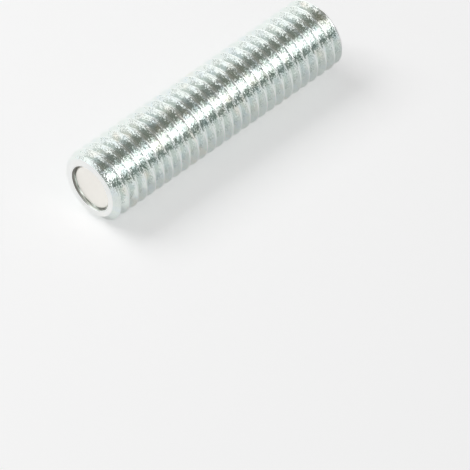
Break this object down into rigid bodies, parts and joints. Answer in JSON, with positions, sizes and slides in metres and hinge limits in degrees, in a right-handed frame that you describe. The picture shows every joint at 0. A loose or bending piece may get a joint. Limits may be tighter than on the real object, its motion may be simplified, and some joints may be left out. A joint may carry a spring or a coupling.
{
  "type": "magnetic threaded stud",
  "caption": "Fully threaded steel stud with chamfered ends, a disc magnet set into one end and a hexagon drive socket in the other, for holding or stopping steel parts.",
  "frame": {"origin": "centre of the flat face at the socket end, on which the stud stands", "axes": "+Z along the thread axis towards the magnet; X and Y across the stud"},
  "size_m": [0.0098, 0.0098, 0.04],
  "materials": {
    "zinc_steel": "bright zinc plate with a pale blue-green passivation, slightly grainy",
    "nickel_plate": "satin nickel plate on a sintered magnet"
  },
  "bodies": {
    "root": {"stud": "zinc_steel", "magnet": "nickel_plate"}
  },
  "joints": []
}
